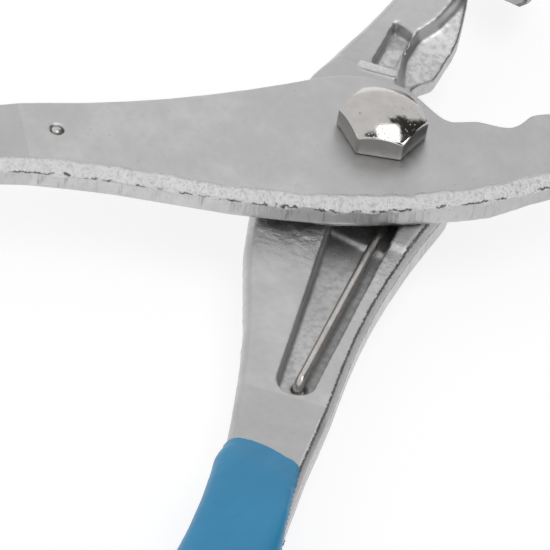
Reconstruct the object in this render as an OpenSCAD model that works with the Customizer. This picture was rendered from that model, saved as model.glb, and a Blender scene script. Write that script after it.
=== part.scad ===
// Hose clamp pliers with a torsion spring and swivelling jaw tips, shown wide open.
// +Z points from the nut to the bolt head. The jaws point along +Y and the handles along -Y.
// The origin is on the pivot's axis, at the surface that the nut stands on.
// Each arm is drawn in its own frame: u across it, v along it towards the jaw,
// with its lapped face up and zero height half way between the two arms.

/* [Stance] */
// Angle of each jaw from the tool's centre line with the handles wide open
open_angle = 18.65; // [16:0.05:22]

/* [Arms] */
// Thickness of a forged arm
arm_t = 6; // [5:0.1:8]
// Half width of an arm across the pivot
hub_r = 16; // [14.5:0.1:20]
// Length of the handle bar from the pivot
handle_len = 166; // [145:1:200]
// Sideways bow of the handle from the arm's axis
handle_bow = 30.5; // [26:0.5:36]
// Width of the handle bar where the grip begins
handle_w = 14.2; // [12.5:0.1:17]
// Extra belly on the inner edge of the lower arm's handle, left by the trimming of its flash
lower_belly = 0.7; // [0:0.1:2]
// Width of the jaw at its root
jaw_w = 18.4; // [16:0.1:21]
// Distance from the pivot to the axis of the jaw tips
jaw_len = 62; // [56:0.5:75]
// Bevel along the outer face's long edge, on the side of the other handle
outer_bevel = 1.7; // [0.8:0.1:2.2]
// Bevel along the outer face's edge on the hub's side
hub_bevel = 0.6; // [0.3:0.1:1.6]
// Bevel along the edges of the lapped face
lap_bevel = 1.1; // [0.5:0.1:1.6]
// Height of the lapped pad round the pivot above the arm
pad_rise = 0.6; // [0.3:0.1:1]
// Fall from the jaw's lapped face to the ledge along its inner side
jaw_fall = 2; // [1:0.1:3]
// Height of the ridge across the jaw's root above the pad
ridge_rise = 0.5; // [0.2:0.1:1]
// Depth of the pocket in the jaw
jaw_pocket_depth = 2.4; // [1:0.1:3]

/* [Pivot] */
// Diameter of the bolt's shank
bolt_d = 8; // [7:0.1:9]
// Width of the bolt head across its flats
head_af = 14; // [13:0.1:16]
// Height of the bolt head's corners
head_corner_h = 3.3; // [2.5:0.1:4]
// Height of the bolt head at its crown
head_crown_h = 6.2; // [5:0.1:7]
// Width of the nut across its flats
nut_af = 13; // [12.5:0.1:16]
// Height of the nut
nut_h = 6; // [5:0.1:8]
// Diameter of the pivot washer
washer_d = 16; // [14:0.5:20]
// Thickness of the pivot washer
washer_t = 1.2; // [0.8:0.1:2]

/* [Spring] */
// Diameter of the spring wire
wire_d = 1.8; // [1.4:0.1:2]
// Radius of the coil at the middle of its wire
coil_r = 6.5; // [6.3:0.05:6.8]
// Height that the coil climbs from one leg to the other
coil_rise = 4.4; // [4:0.1:4.6]
// Whole turns of the coil beside the part turn that its legs need
coil_turns = 1; // [1:1:1]
// Distance along the arm from the pivot to the hole for the spring's hook
hook_v = 55.4; // [50:0.2:58]

/* [Grips] */
// Thickness of the dipped vinyl
grip_t = 1.4; // [1:0.1:2]
// Distance along the arm from the pivot to the edge of the grip
grip_start = 75.6; // [68:0.2:82]

/* [Jaw tips] */
// Diameter of a tip's head
tip_d = 14; // [12:0.5:15]
// Length of a tip's head
tip_len = 8.4; // [6:0.1:8.6]
// Diameter of a tip's stem
stem_d = 6; // [5:0.1:7]
// Width of the crossed slots in a tip's face
slot_w = 2.6; // [2:0.1:3]
// Depth of the crossed slots
slot_depth = 3.2; // [2:0.1:4]
// Diameter of the eye at the end of the jaw
eye_d = 13; // [12:0.1:14]
// Thickness of the washer under a tip's head
tip_washer_t = 0.8; // [0.5:0.1:1]
// Thickness of the clip on a tip's stem
clip_t = 0.8; // [0.6:0.1:1]

/* [Clearances] */
// Gap between flat faces that slide on each other
lap_gap = 0.1; // [0.05:0.01:0.2]
// Radial clearance of a shank in its bore
bore_clear = 0.05; // [0.03:0.01:0.1]
// Radial clearance of the spring's wire in its hole
hook_clear = 0.3; // [0.2:0.05:0.4]
// Gap left between the faces of the two tips when the jaws are shut
shut_gap = 0.3; // [0.1:0.05:0.6]

/* [Hidden] */
$fn = 96;
hull_fn = 32;
overrun = 1;

// Heights, all from the middle of the lap
lap_z = nut_h + washer_t + arm_t + pad_rise + lap_gap / 2;
pad_z = -lap_gap / 2;
flat_z = pad_z - pad_rise;
back_z = flat_z - arm_t;
arm_mid = (flat_z + back_z) / 2;
head_z = arm_t + pad_rise + lap_gap / 2 + lap_gap;

// Handle bar, from its end to the shoulder: places on its middle line in shares of the bow and
// the length, widths in shares of its width at the grip's edge, and shares of the belly
bar_shares = [
    [0.905, -1, 0.56, 0], [0.912, -0.988, 0.77, 0], [0.925, -0.97, 0.85, 0], [0.961, -0.93, 0.89, 0],
    [0.99, -0.85, 0.92, 0], [0.993, -0.755, 0.94, 0], [0.945, -0.655, 0.96, 0], [0.842, -0.555, 0.98, 0],
    [0.705, -0.468, 1, 0.5], [0.541, -0.37, 1.155, 1]];

// Shoulder, in shares of the bow and the length: left edge, right edge, share of the belly
shoulder_shares = [
    [[0.066, -0.297], [0.7, -0.287], 1],
    [[-0.252, -0.193], [0.603, -0.198], 1]];

// Hub, in shares of its half width: left edge, right edge, shares of the lap bevel on each
hub_shares = [
    [[-0.94, -0.97], [1.056, -1.155], 1, 1],
    [[-1.125, -0.27], [1.031, -0.55], 1, 1],
    [[-1.175, 0.03], [1.019, -0.155], 0.8, 0.8],
    [[-1.2, 0.25], [0.938, 0.125], 0.55, 0.55],
    [[-1.219, 0.406], [0.825, 0.331], 0.4, 0.4],
    [[-1.238, 0.563], [0.69, 0.512], 0.35, 0.35],
    [[-1.25, 0.688], [0.5, 0.625], 0.35, 0.35],
    [[-1.262, 0.788], [0.29, 0.694], 0.35, 0.35],
    [[-1.262, 0.888], [0.098, 0.756], 0.4, 0.4],
    [[-1.262, 0.988], [-0.038, 0.85], 0.6, 1],
    [[-1.256, 1.169], [-0.1, 1.12], 0.9, 3.4]];

// Jaw, in shares of its root width and its length: outer edge, inner edge, and the width of
// the ledge along the inner side
jaw_shares = [
    [[-1.08, 0.34], [-0.185, 0.332], 0.187],
    [[-1.075, 0.38], [-0.26, 0.376], 0.16],
    [[-1.065, 0.42], [-0.217, 0.42], 0.288],
    [[-1.055, 0.455], [-0.158, 0.453], 0.38],
    [[-1.04, 0.5], [-0.171, 0.498], 0.394],
    [[-1.02, 0.56], [-0.19, 0.56], 0.38],
    [[-0.995, 0.626], [-0.212, 0.626], 0.277],
    [[-0.96, 0.742], [-0.345, 0.742], 0.12],
    [[-0.94, 0.855], [-0.49, 0.847], 0.06],
    [[-0.935, 0.935], [-0.522, 0.935], 0.06],
    [[-0.935, 1], [-0.522, 1], 0.06]];
ledge_step_w = 0.5 * jaw_fall;
ledge_edge = 0.25 * jaw_fall;

// Where the arm leaves the lap for the tool's middle plane
handle_bend = [0.37 * handle_len, 0.56 * handle_len];
jaw_bend = [0.48 * jaw_len, 0.84 * jaw_len];
eye_swell = [0.8 * jaw_len, 0.95 * jaw_len];
eye_swell_share = 0.7;
steps_per_span = 2;

function ease(from, to, at) = let (t = min(max((at - from) / (to - from), 0), 1)) t * t * (3 - 2 * t);
function unit(p) = p / norm(p);
function left_of(p) = [-p[1], p[0]];
function flat(p) = [p[0], p[1]];

// A smooth curve through the points, with some steps between each two
function curve(p, steps) = [
    for (i = [0 : len(p) - 2], k = [0 : steps - 1])
        let (t = k / steps, a = p[max(i - 1, 0)], b = p[i], c = p[i + 1], d = p[min(i + 2, len(p) - 1)])
        (2 * b + (c - a) * t + (2 * a - 5 * b + 4 * c - d) * t * t
         + (3 * b - a - 3 * c + d) * t * t * t) / 2,
    p[len(p) - 1]];

// The direction of a list of points at one of them
function heading(p, i) = unit(flat(p[min(i + 1, len(p) - 1)]) - flat(p[max(i - 1, 0)]));

// The two edges of an arm as far as its bar, shoulder, hub and jaw go
bar_middle = [for (s = bar_shares) [s[0] * handle_bow, s[1] * handle_len]];
bar_left = [for (i = [0 : len(bar_middle) - 1])
    bar_middle[i] + left_of(heading(bar_middle, i)) * bar_shares[i][2] * handle_w / 2];
bar_right = [for (i = [0 : len(bar_middle) - 1])
    bar_middle[i] - left_of(heading(bar_middle, i)) * bar_shares[i][2] * handle_w / 2];
function edge_points(side, belly) = concat(
    side == 1 ? bar_right
              : [for (i = [0 : len(bar_left) - 1]) bar_left[i] - [belly * bar_shares[i][3], 0]],
    [for (s = shoulder_shares)
        [s[side][0] * handle_bow - (side == 0 ? belly * s[2] : 0), s[side][1] * handle_len]],
    [for (s = hub_shares) s[side] * hub_r],
    [for (s = jaw_shares) [s[side][0] * jaw_w, s[side][1] * jaw_len]]);
// Widths along the arm: the lapped face's bevel at the left, its bevel or ledge at the right
bevel_points = concat(
    [for (s = concat(bar_shares, shoulder_shares)) [lap_bevel, lap_bevel]],
    [for (s = hub_shares) [s[2] * lap_bevel, s[3] * lap_bevel]],
    [for (s = jaw_shares) [lap_bevel, s[2] * jaw_w]]);

// Middle height and half thickness of the arm at a distance along it
function middle_z(v) = v < 0
    ? arm_mid * (1 - ease(handle_bend[0], handle_bend[1], -v))
    : arm_mid * (1 - ease(jaw_bend[0], jaw_bend[1], v));
function half_t(v) = arm_t / 2 + max(eye_d / 2 * eye_swell_share - arm_t / 2, 0)
    * ease(eye_swell[0], eye_swell[1], v);

// One ring of the arm's skin: nine points round its bevelled section. At the jaw the lapped
// face's right bevel widens into the ledge, with a step down to it.
function arm_ring(left, right, bevel, i) =
    let (l = left[i], r = right[i], v = (l[1] + r[1]) / 2,
         top = middle_z(v) + half_t(v), low = middle_z(v) - half_t(v),
         in_l = -left_of(heading(left, i)), in_r = left_of(heading(right, i)),
         a = bevel[i][0], b = bevel[i][1], wide = max(b - lap_bevel, 0),
         inner = r + in_r * (b - wide) + unit(l - r) * wide,
         k = min(wide / (2 * lap_bevel), 1),
         foot = inner + unit(r - inner) * (b / 2 * (1 - k) + ledge_step_w * k),
         foot_fall = b / 2 * (1 - k) + jaw_fall * k,
         fall = b * (1 - k) + (jaw_fall + ledge_edge) * k)
    [concat(l + in_l * a, top), concat(l, top - a),
     concat(l, low + outer_bevel), concat(l + in_l * outer_bevel, low),
     concat(r + in_r * hub_bevel, low), concat(r, low + hub_bevel),
     concat(r, top - fall), concat(foot, top - foot_fall), concat(inner, top)];

function arm_rings(belly) =
    let (left = curve(edge_points(0, belly), steps_per_span),
         right = curve(edge_points(1, belly), steps_per_span),
         bevel = curve(bevel_points, steps_per_span))
    [for (i = [0 : len(left) - 1]) arm_ring(left, right, bevel, i)];

// A closed skin through rings of points that all have the same count
module skin(rings) {
    sides = len(rings[0]);
    last = len(rings) - 1;
    walls = [
        for (i = [0 : last - 1], k = [0 : sides - 1])
            let (a = i * sides + k, b = i * sides + (k + 1) % sides)
            each [[a, b, a + sides], [b, b + sides, a + sides]]];
    start = [for (k = [1 : sides - 2]) [0, k + 1, k]];
    finish = [for (k = [1 : sides - 2]) [last * sides, last * sides + k, last * sides + k + 1]];
    polyhedron(points = [for (ring = rings) each ring], faces = concat(walls, start, finish));
}

// The lapped face's outline between two distances along the arm
function lap_outline(belly, from, to) =
    let (rings = [for (ring = arm_rings(belly)) if (ring[0][1] > from && ring[0][1] < to) ring])
    concat([for (ring = rings) flat(ring[0])],
           [for (i = [len(rings) - 1 : -1 : 0]) flat(rings[i][8])]);

// Lapped pad: it ends in a sloped step on the handle's side and on the jaw's
pad_ends = [-1.07 * hub_r, 1.27 * hub_r];
pad_slope = 1.5 * pad_rise;
pad_margin = 0.4 * hub_r;
pad_seat = 0.5 * lap_bevel;

module lapped_pad(belly) {
    intersection() {
        translate([0, 0, flat_z - pad_seat])
            linear_extrude(pad_rise + pad_seat)
                polygon(lap_outline(belly, pad_ends[0] - pad_margin, pad_ends[1] + pad_margin));
        step_prism(pad_ends, flat_z, pad_rise, pad_slope, pad_seat);
    }
}

// A low block across the arm with sloped ends
module step_prism(ends, base, rise, slope, seat) {
    below = slope * seat / rise;
    translate([2 * hub_r, 0, base])
        rotate([90, 0, -90])
            linear_extrude(4 * hub_r)
                polygon([[-ends[1] - slope - below, -seat], [-ends[0] + slope + below, -seat],
                         [-ends[0], rise], [-ends[1], rise]]);
}

// Ridge where the pad meets the jaw, across the outer part of the jaw at a slight turn
ridge_w = 0.1 * hub_r;
ridge_side_shares = [-0.92, -0.46];
ridge_turn = 14;

module jaw_ridge() {
    middle = (ridge_side_shares[0] + ridge_side_shares[1]) / 2 * hub_r;
    long = (ridge_side_shares[1] - ridge_side_shares[0]) * hub_r;
    half_w = ridge_w / 2;
    translate([middle, pad_ends[1] + half_w, 0])
        rotate([0, 0, ridge_turn])
            intersection() {
                step_prism([-half_w, half_w], flat_z, pad_rise + ridge_rise, half_w, pad_seat);
                translate([-long / 2, -hub_r / 2, back_z])
                    cube([long, hub_r, 2 * arm_t]);
            }
}

// Pocket in the jaw beyond the ridge: its corners in shares of the jaw's width and length
jaw_pocket_shares = [[-0.717, 0.365], [-0.5, 0.392], [-0.592, 0.548], [-0.81, 0.56]];

module jaw_pocket() {
    translate([0, 0, flat_z - jaw_pocket_depth])
        linear_extrude(jaw_pocket_depth + pad_rise + ridge_rise + overrun)
            polygon([for (s = jaw_pocket_shares) [s[0] * jaw_w, s[1] * jaw_len]]);
}

// Spring: its hooks' holes, its coil's pocket and the channel for a leg
wire_r = wire_d / 2;
left_line = [for (p = curve(edge_points(0, 0), steps_per_span)) [p[1], p[0]]];
right_line = [for (p = curve(edge_points(1, 0), steps_per_span)) [p[1], p[0]]];
hook_across_share = 0.587;
hook_u = lookup(-hook_v, left_line) * (1 - hook_across_share)
    + lookup(-hook_v, right_line) * hook_across_share;
hook = [hook_u, -hook_v];
leg_angle = atan2(hook[1], hook[0]) - asin(coil_r / norm(hook));
leg_dir = [cos(leg_angle), sin(leg_angle)];
coil_start = leg_angle + 90;
leg_start = coil_r * [cos(coil_start), sin(coil_start)];
leg_len = norm(hook - leg_start);
leg_drop = coil_rise / 9;
pocket_depth = coil_rise / 2 + wire_r + 0.08 * coil_rise;
pocket_r = coil_r + wire_r + 2 * hook_clear;
post_r = coil_r - wire_r - 2 * hook_clear;
hook_hole_r = wire_r + hook_clear;

module coil_pocket() {
    translate([0, 0, pad_z - pocket_depth])
        difference() {
            cylinder(r = pocket_r, h = pocket_depth + overrun);
            translate([0, 0, -overrun])
                cylinder(r = post_r, h = pocket_depth + 3 * overrun);
        }
}

// Channel: wide at the coil, narrow at the hook, with a drafted left wall. Its walls lie at
// these distances from the leg's middle line, at the coil and at the hook.
channel_right = [1.45 * wire_d, 1.75 * wire_d];
channel_left = [5.3 * wire_d, 1.84 * wire_d];
channel_r = 1.8 * wire_d;
channel_slope = 0.12 * wire_d;
channel_beyond = 0.95 * wire_d;
leg_right = left_of(leg_dir);
channel_start = leg_start + leg_dir * pocket_r;
channel_end = hook + leg_dir * channel_beyond;

module channel_disc(at, z, h) {
    translate([at[0], at[1], z])
        cylinder(r = channel_r, h = h, $fn = hull_fn);
}

module leg_channel(face_z) {
    floor_z = face_z - pocket_depth;
    rise = pad_z + overrun - floor_z;
    shift = -leg_right * channel_slope * rise / pocket_depth;
    thin = overrun / 10;
    hull() {
        channel_disc(leg_start + leg_right * (channel_right[0] - channel_r), floor_z, rise);
        channel_disc(channel_end + leg_right * (channel_right[1] - channel_r), floor_z, rise);
        for (at = [channel_start - leg_right * (channel_left[0] - channel_r),
                   channel_end - leg_right * (channel_left[1] - channel_r)]) {
            channel_disc(at, floor_z, thin);
            channel_disc(at + shift, floor_z + rise - thin, thin);
        }
    }
}

// The channel's floor steps up with the pad, and the post inside the coil stays whole
module stepped_channel() {
    difference() {
        union() {
            difference() {
                leg_channel(flat_z);
                step_prism(pad_ends, flat_z - pocket_depth, pad_rise, pad_slope, overrun);
            }
            intersection() {
                leg_channel(pad_z);
                translate([-2 * hub_r, pad_ends[0], back_z])
                    cube([4 * hub_r, 2 * hub_r, 2 * arm_t]);
            }
        }
        translate([0, 0, back_z])
            cylinder(r = coil_r, h = 2 * arm_t);
    }
}

// Eye for the tip's stem, across the end of the jaw
eye_outer = jaw_shares[len(jaw_shares) - 1][0][0] * jaw_w;
stem_r = stem_d / 2;
tip_face_u = -shut_gap / 2;
tip_back_u = tip_face_u - tip_len;
eye_inner = tip_back_u - tip_washer_t - 2 * lap_gap;
eye_len = eye_inner - eye_outer;

// Stands what follows on the eye's axis, with +Z along +u and zero at the arm's axis
module at_eye() {
    translate([0, jaw_len, 0])
        rotate([0, 90, 0])
            children();
}

module arm(belly) {
    difference() {
        union() {
            skin(arm_rings(belly));
            lapped_pad(belly);
            jaw_ridge();
            at_eye()
                translate([0, 0, eye_outer])
                    cylinder(d = eye_d, h = eye_len);
        }
        translate([0, 0, back_z - overrun])
            cylinder(r = bolt_d / 2 + bore_clear, h = arm_t + pad_rise + 2 * overrun);
        coil_pocket();
        stepped_channel();
        jaw_pocket();
        translate([hook[0], hook[1], back_z - overrun])
            cylinder(r = hook_hole_r, h = arm_t + overrun);
        at_eye()
            translate([0, 0, eye_outer - overrun])
                cylinder(r = stem_r + bore_clear, h = eye_len + 2 * overrun);
        at_eye()
            translate([0, 0, eye_inner])
                cylinder(d = tip_d + 2 * overrun, h = tip_len);
    }
}

// Dipped grip: the bar's skin swollen by the coat, which thins out to a lip at its edge, with
// a domed end
grip_dome_shares = [[0.97, 0.5], [0.78, 1.15], [0.42, 1.6]];
grip_round_shares = [0.3, 1.25];
grip_taper = 6 * grip_t;
grip_lip = 1.5 * grip_t;
grip_lip_share = 0.25;
grip_corner_share = 0.4;

function grip_coat(v) = grip_t * (grip_lip_share
    + (1 - grip_lip_share) * ease(grip_start, grip_start + grip_taper, -v));
function grip_ring(l, r, back, shrink) =
    let (v = (l[1] + r[1]) / 2, across = unit(r - l), middle = (l + r) / 2 - left_of(across) * back,
         coat = grip_coat(v), w = (norm(r - l) / 2 + coat) * shrink, t = (half_t(v) + coat) * shrink,
         far = (half_t(v) * grip_round_shares[0] + coat * grip_round_shares[1]) * shrink,
         near = far * grip_corner_share)
    [for (s = [[-1, far, 1, 0], [-1, near, 1, near], [-1, 0, 1, far],
               [-1, 0, -1, far], [-1, near, -1, near], [-1, far, -1, 0],
               [1, far, -1, 0], [1, near, -1, near], [1, 0, -1, far],
               [1, 0, 1, far], [1, near, 1, near], [1, far, 1, 0]])
        concat(middle + across * s[0] * (w - s[1]), middle_z(v) + s[2] * (t - s[3]))];

module grip(belly) {
    left = curve(edge_points(0, belly), steps_per_span);
    right = curve(edge_points(1, belly), steps_per_span);
    last = max([for (i = [0 : len(left) - 1])
        if ((left[i][1] + right[i][1]) / 2 < -grip_start - grip_lip / 2) i]);
    lip = 2 * grip_lip / norm(left[last + 1] + right[last + 1] - left[last] - right[last]);
    rings = concat(
        [for (i = [len(grip_dome_shares) - 1 : -1 : 0])
            grip_ring(left[0], right[0], grip_t * grip_dome_shares[i][1], grip_dome_shares[i][0])],
        [for (i = [0 : last]) grip_ring(left[i], right[i], 0, 1)],
        [grip_ring(left[last] * (1 - lip) + left[last + 1] * lip,
                   right[last] * (1 - lip) + right[last + 1] * lip, 0, 1)]);
    difference() {
        skin(rings);
        skin(arm_rings(belly));
    }
}

// Puts an arm's frame in its place, the lower one or the same turned over
module lower_side() {
    translate([0, 0, lap_z])
        rotate([0, 0, open_angle])
            children();
}

module upper_side() {
    translate([0, 0, lap_z])
        rotate([0, 180, 0])
            rotate([0, 0, open_angle])
                children();
}

module lower_arm() {
    color("silver")
        lower_side()
            arm(lower_belly);
}

module upper_arm() {
    color("silver")
        upper_side()
            arm(0);
}

module lower_grip() {
    color([0.28, 0.53, 0.68])
        lower_side()
            grip(lower_belly);
}

module upper_grip() {
    color([0.28, 0.53, 0.68])
        upper_side()
            grip(0);
}

// Bolt: a hexagon head under a dome that also rounds its corners off, and a plain shank
head_corner_r = head_af / 2 / cos(30);
dome_drop = head_crown_h - head_corner_h;
dome_r = (head_corner_r * head_corner_r + dome_drop * dome_drop) / (2 * dome_drop);
head_turn = 42.6;
bolt_tip_bevel = 0.1 * bolt_d;

module pivot_bolt() {
    color("gainsboro") {
        translate([0, 0, lap_z + head_z])
            intersection() {
                rotate([0, 0, head_turn])
                    cylinder(r = head_corner_r, h = head_crown_h, $fn = 6);
                translate([0, 0, head_crown_h - dome_r])
                    sphere(r = dome_r);
            }
        translate([0, 0, bolt_tip_bevel])
            cylinder(d = bolt_d, h = lap_z + head_z - bolt_tip_bevel);
        cylinder(d1 = bolt_d - 2 * bolt_tip_bevel, d2 = bolt_d, h = bolt_tip_bevel);
    }
}

// Nut: a hexagon with bevelled corners, and a collar bored for its nylon ring
nut_corner_r = nut_af / 2 / cos(30);
nut_bevel = nut_corner_r - nut_af / 2;
collar_h = 0.3 * nut_h;
collar_d = 0.9 * nut_af;
insert_h = 0.22 * nut_h;
insert_d = 0.74 * nut_af;
nut_bore_r = bolt_d / 2 + bore_clear / 2;

module pivot_nut() {
    color("darkgray")
        difference() {
            union() {
                cylinder(d = collar_d, h = nut_h / 2);
                intersection() {
                    translate([0, 0, collar_h])
                        cylinder(r = nut_corner_r, h = nut_h - collar_h, $fn = 6);
                    translate([0, 0, collar_h])
                        cylinder(r1 = nut_af / 2, r2 = nut_af / 2 + nut_h - collar_h, h = nut_h - collar_h);
                    cylinder(r1 = nut_af / 2 + nut_h, r2 = nut_af / 2 + nut_bevel / 3, h = nut_h);
                }
            }
            translate([0, 0, -overrun])
                cylinder(r = nut_bore_r, h = nut_h + 2 * overrun);
            translate([0, 0, collar_h - insert_h])
                cylinder(d = insert_d, h = insert_h);
            translate([0, 0, -overrun])
                cylinder(d = insert_d - insert_h, h = collar_h + overrun);
        }
}

module nut_insert() {
    color("white")
        translate([0, 0, collar_h - insert_h])
            difference() {
                cylinder(d = insert_d, h = insert_h);
                translate([0, 0, -overrun])
                    cylinder(r = nut_bore_r, h = insert_h + 2 * overrun);
            }
}

module pivot_washer() {
    color("lightgray")
        translate([0, 0, nut_h])
            difference() {
                cylinder(d = washer_d, h = washer_t);
                translate([0, 0, -overrun])
                    cylinder(r = bolt_d / 2 + 2 * bore_clear, h = washer_t + 2 * overrun);
            }
}

// Spring: one unbroken wire from hook to hook. Each station holds a point of its
// middle line, the way across it level with the arms, and the way that it runs.
rings_per_turn = 24;
wire_sides = 6;
hook_bend_r = wire_d;
hook_bend_steps = 5;
hook_end_z = back_z + lap_gap;
leg_steps = 3;

// Half of the spring, in the lower arm's frame, from the tangent point to the hook's end
function leg_z(along) = -coil_rise / 2 - leg_drop * along / leg_len;
bend_from = leg_len - hook_bend_r;
bend_z = leg_z(bend_from);
function half_spring() = concat(
    [for (k = [0 : leg_steps]) let (along = bend_from * k / leg_steps)
        [concat(leg_start + leg_dir * along, leg_z(along)), concat(leg_dir, 0)]],
    [for (k = [1 : hook_bend_steps]) let (a = 90 * k / hook_bend_steps)
        [concat(leg_start + leg_dir * (bend_from + hook_bend_r * sin(a)),
                bend_z - hook_bend_r * (1 - cos(a))),
         concat(leg_dir * cos(a), -sin(a))]],
    [[concat(hook, hook_end_z), [0, 0, -1]]]);

function turned(p, angle) =
    [p[0] * cos(angle) - p[1] * sin(angle), p[0] * sin(angle) + p[1] * cos(angle), p[2]];
function flipped(p) = [-p[0], p[1], -p[2]];

leg_side = turned([cos(coil_start), sin(coil_start), 0], open_angle);
coil_from = coil_start + open_angle;
coil_sweep = 180 - 2 * coil_from + 360 * coil_turns;
coil_steps = ceil(coil_sweep / 360 * rings_per_turn);
half = half_spring();
lower_half = [for (i = [len(half) - 1 : -1 : 0])
    [turned(half[i][0], open_angle), leg_side, -turned(half[i][1], open_angle)]];
upper_half = [for (s = half)
    [flipped(turned(s[0], open_angle)), flipped(leg_side), flipped(turned(s[1], open_angle))]];
coil = [for (k = [1 : coil_steps - 1])
    let (a = coil_from + coil_sweep * k / coil_steps, z = coil_rise * (k / coil_steps - 1 / 2))
    [[coil_r * cos(a), coil_r * sin(a), z], [cos(a), sin(a), 0], [-sin(a), cos(a), 0]]];
spring_path = concat(lower_half, coil, upper_half);

module torsion_spring() {
    color("lightslategray")
        translate([0, 0, lap_z])
            skin([for (s = spring_path)
                let (up = cross(s[1], s[2]))
                [for (k = [0 : wire_sides - 1]) let (a = -360 * k / wire_sides)
                    s[0] + s[1] * wire_r * cos(a) + up * wire_r * sin(a)]]);
}

// Least gap of the wire to itself: between points of the coil more than half a turn apart
coil_gap = min([for (a = coil, b = coil)
    if (b[0][2] - a[0][2] > coil_rise / (coil_sweep / 180)) norm(a[0] - b[0])]) - wire_d;
echo("least gap of the spring to itself, mm", coil_gap);

// Tip: a head with crossed slots, a stem through the eye and a groove for its clip
tip_bevel = 0.06 * tip_d;
clip_u = eye_outer - lap_gap - clip_t;
groove_t = clip_t + 2 * bore_clear;
groove_r = 0.76 * stem_r;
stem_end_u = clip_u - 1.4 * clip_t;
stem_bevel = 0.2 * stem_r;

module tip() {
    at_eye()
        difference() {
            rotate_extrude()
                polygon([
                    [0, stem_end_u], [stem_r - stem_bevel, stem_end_u], [stem_r, stem_end_u + stem_bevel],
                    [stem_r, clip_u - bore_clear], [groove_r, clip_u - bore_clear],
                    [groove_r, clip_u - bore_clear + groove_t], [stem_r, clip_u - bore_clear + groove_t],
                    [stem_r, tip_back_u], [tip_d / 2 - tip_bevel, tip_back_u],
                    [tip_d / 2, tip_back_u + tip_bevel], [tip_d / 2, tip_face_u - tip_bevel],
                    [tip_d / 2 - tip_bevel, tip_face_u], [0, tip_face_u]]);
            for (turn = [45, 135])
                rotate([0, 0, turn])
                    translate([-tip_d, -slot_w / 2, tip_face_u - slot_depth])
                        cube([2 * tip_d, slot_w, slot_depth + overrun]);
        }
}

tip_washer_d = 0.86 * tip_d;

module tip_washer() {
    at_eye()
        translate([0, 0, eye_inner])
            difference() {
                cylinder(d = tip_washer_d, h = tip_washer_t + lap_gap);
                translate([0, 0, -overrun])
                    cylinder(r = stem_r + 2 * bore_clear, h = tip_washer_t + 2 * overrun);
            }
}

// Clip: an open ring that snaps into the groove from the side
clip_d = 1.7 * stem_d;
clip_mouth = 1.3 * stem_r;

module tip_clip() {
    at_eye()
        translate([0, 0, clip_u])
            difference() {
                cylinder(d = clip_d, h = clip_t);
                translate([0, 0, -overrun])
                    cylinder(r = groove_r + bore_clear, h = clip_t + 2 * overrun);
                translate([0, -clip_mouth / 2, -overrun])
                    cube([clip_d, clip_mouth, clip_t + 2 * overrun]);
            }
}

module lower_tip() {
    color("dimgray")
        lower_side()
            tip();
}

module upper_tip() {
    color("dimgray")
        upper_side()
            tip();
}

module lower_tip_washer() {
    color("lightgray")
        lower_side()
            tip_washer();
}

module upper_tip_washer() {
    color("lightgray")
        upper_side()
            tip_washer();
}

module lower_tip_clip() {
    color("darkslategray")
        lower_side()
            tip_clip();
}

module upper_tip_clip() {
    color("darkslategray")
        upper_side()
            tip_clip();
}

lower_arm();
upper_arm();
lower_grip();
upper_grip();
pivot_bolt();
pivot_washer();
pivot_nut();
nut_insert();
torsion_spring();
lower_tip();
upper_tip();
lower_tip_washer();
upper_tip_washer();
lower_tip_clip();
upper_tip_clip();
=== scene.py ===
"""Looks of the hose clamp pliers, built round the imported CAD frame.

Shapes are worked out in millimetres and go into the scene in metres.
"""
import math
import bmesh
import bpy
import numpy as np
from mathutils import Matrix, Vector


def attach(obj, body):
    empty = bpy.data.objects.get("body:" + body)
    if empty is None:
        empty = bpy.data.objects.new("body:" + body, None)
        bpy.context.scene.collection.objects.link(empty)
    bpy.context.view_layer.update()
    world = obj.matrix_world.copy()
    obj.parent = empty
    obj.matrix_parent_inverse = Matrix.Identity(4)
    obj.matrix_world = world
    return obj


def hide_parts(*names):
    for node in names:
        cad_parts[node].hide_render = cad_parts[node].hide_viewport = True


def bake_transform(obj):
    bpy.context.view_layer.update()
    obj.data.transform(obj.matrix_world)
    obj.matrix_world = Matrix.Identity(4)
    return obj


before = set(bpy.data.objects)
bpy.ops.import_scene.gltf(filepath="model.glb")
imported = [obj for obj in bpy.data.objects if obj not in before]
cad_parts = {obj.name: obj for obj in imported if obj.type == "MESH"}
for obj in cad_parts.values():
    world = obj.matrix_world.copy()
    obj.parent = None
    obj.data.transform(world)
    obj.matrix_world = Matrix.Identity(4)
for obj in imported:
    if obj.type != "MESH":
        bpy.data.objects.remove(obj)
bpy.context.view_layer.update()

MM = 0.001
TINY = 1e-6

# The arms' own frame: u across, v towards the jaw, the lapped face up, zero height at the lap
OPEN_ANGLE = math.radians(18.65)
LAP_Z = 13.85
FLAT_Z = -0.65
BACK_Z = -6.65
ARM_MID = (FLAT_Z + BACK_Z) / 2
HALF_T = (FLAT_Z - BACK_Z) / 2
# Where an arm bends from below the lap to level with it, as distances from the pivot
HANDLE_BEND = (61.42, 92.96)
JAW_BEND = (29.76, 52.08)
# Where the handle's marks fade out towards the jaw, and the jaw's towards the plain eye, as v
JAW_START = (4.0, 12.0)
EYE_START = (46.0, 52.0)
# The eye's axis as v, its bore, and where its two ends lie as u
EYE_V = 62.0
EYE_BORE_R = 3.25
EYE_ENDS = (-17.17, -9.6)
# The face of the lapped pad, just clear of the other arm's
PAD_Z = -0.05
# Widths of the outer face's flash bevel and of the lapped face's right bevel
BEVEL = 1.7
LAP_BEVEL = 1.1
# Thickness of the dipped coat
GRIP_T = 1.4

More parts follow.
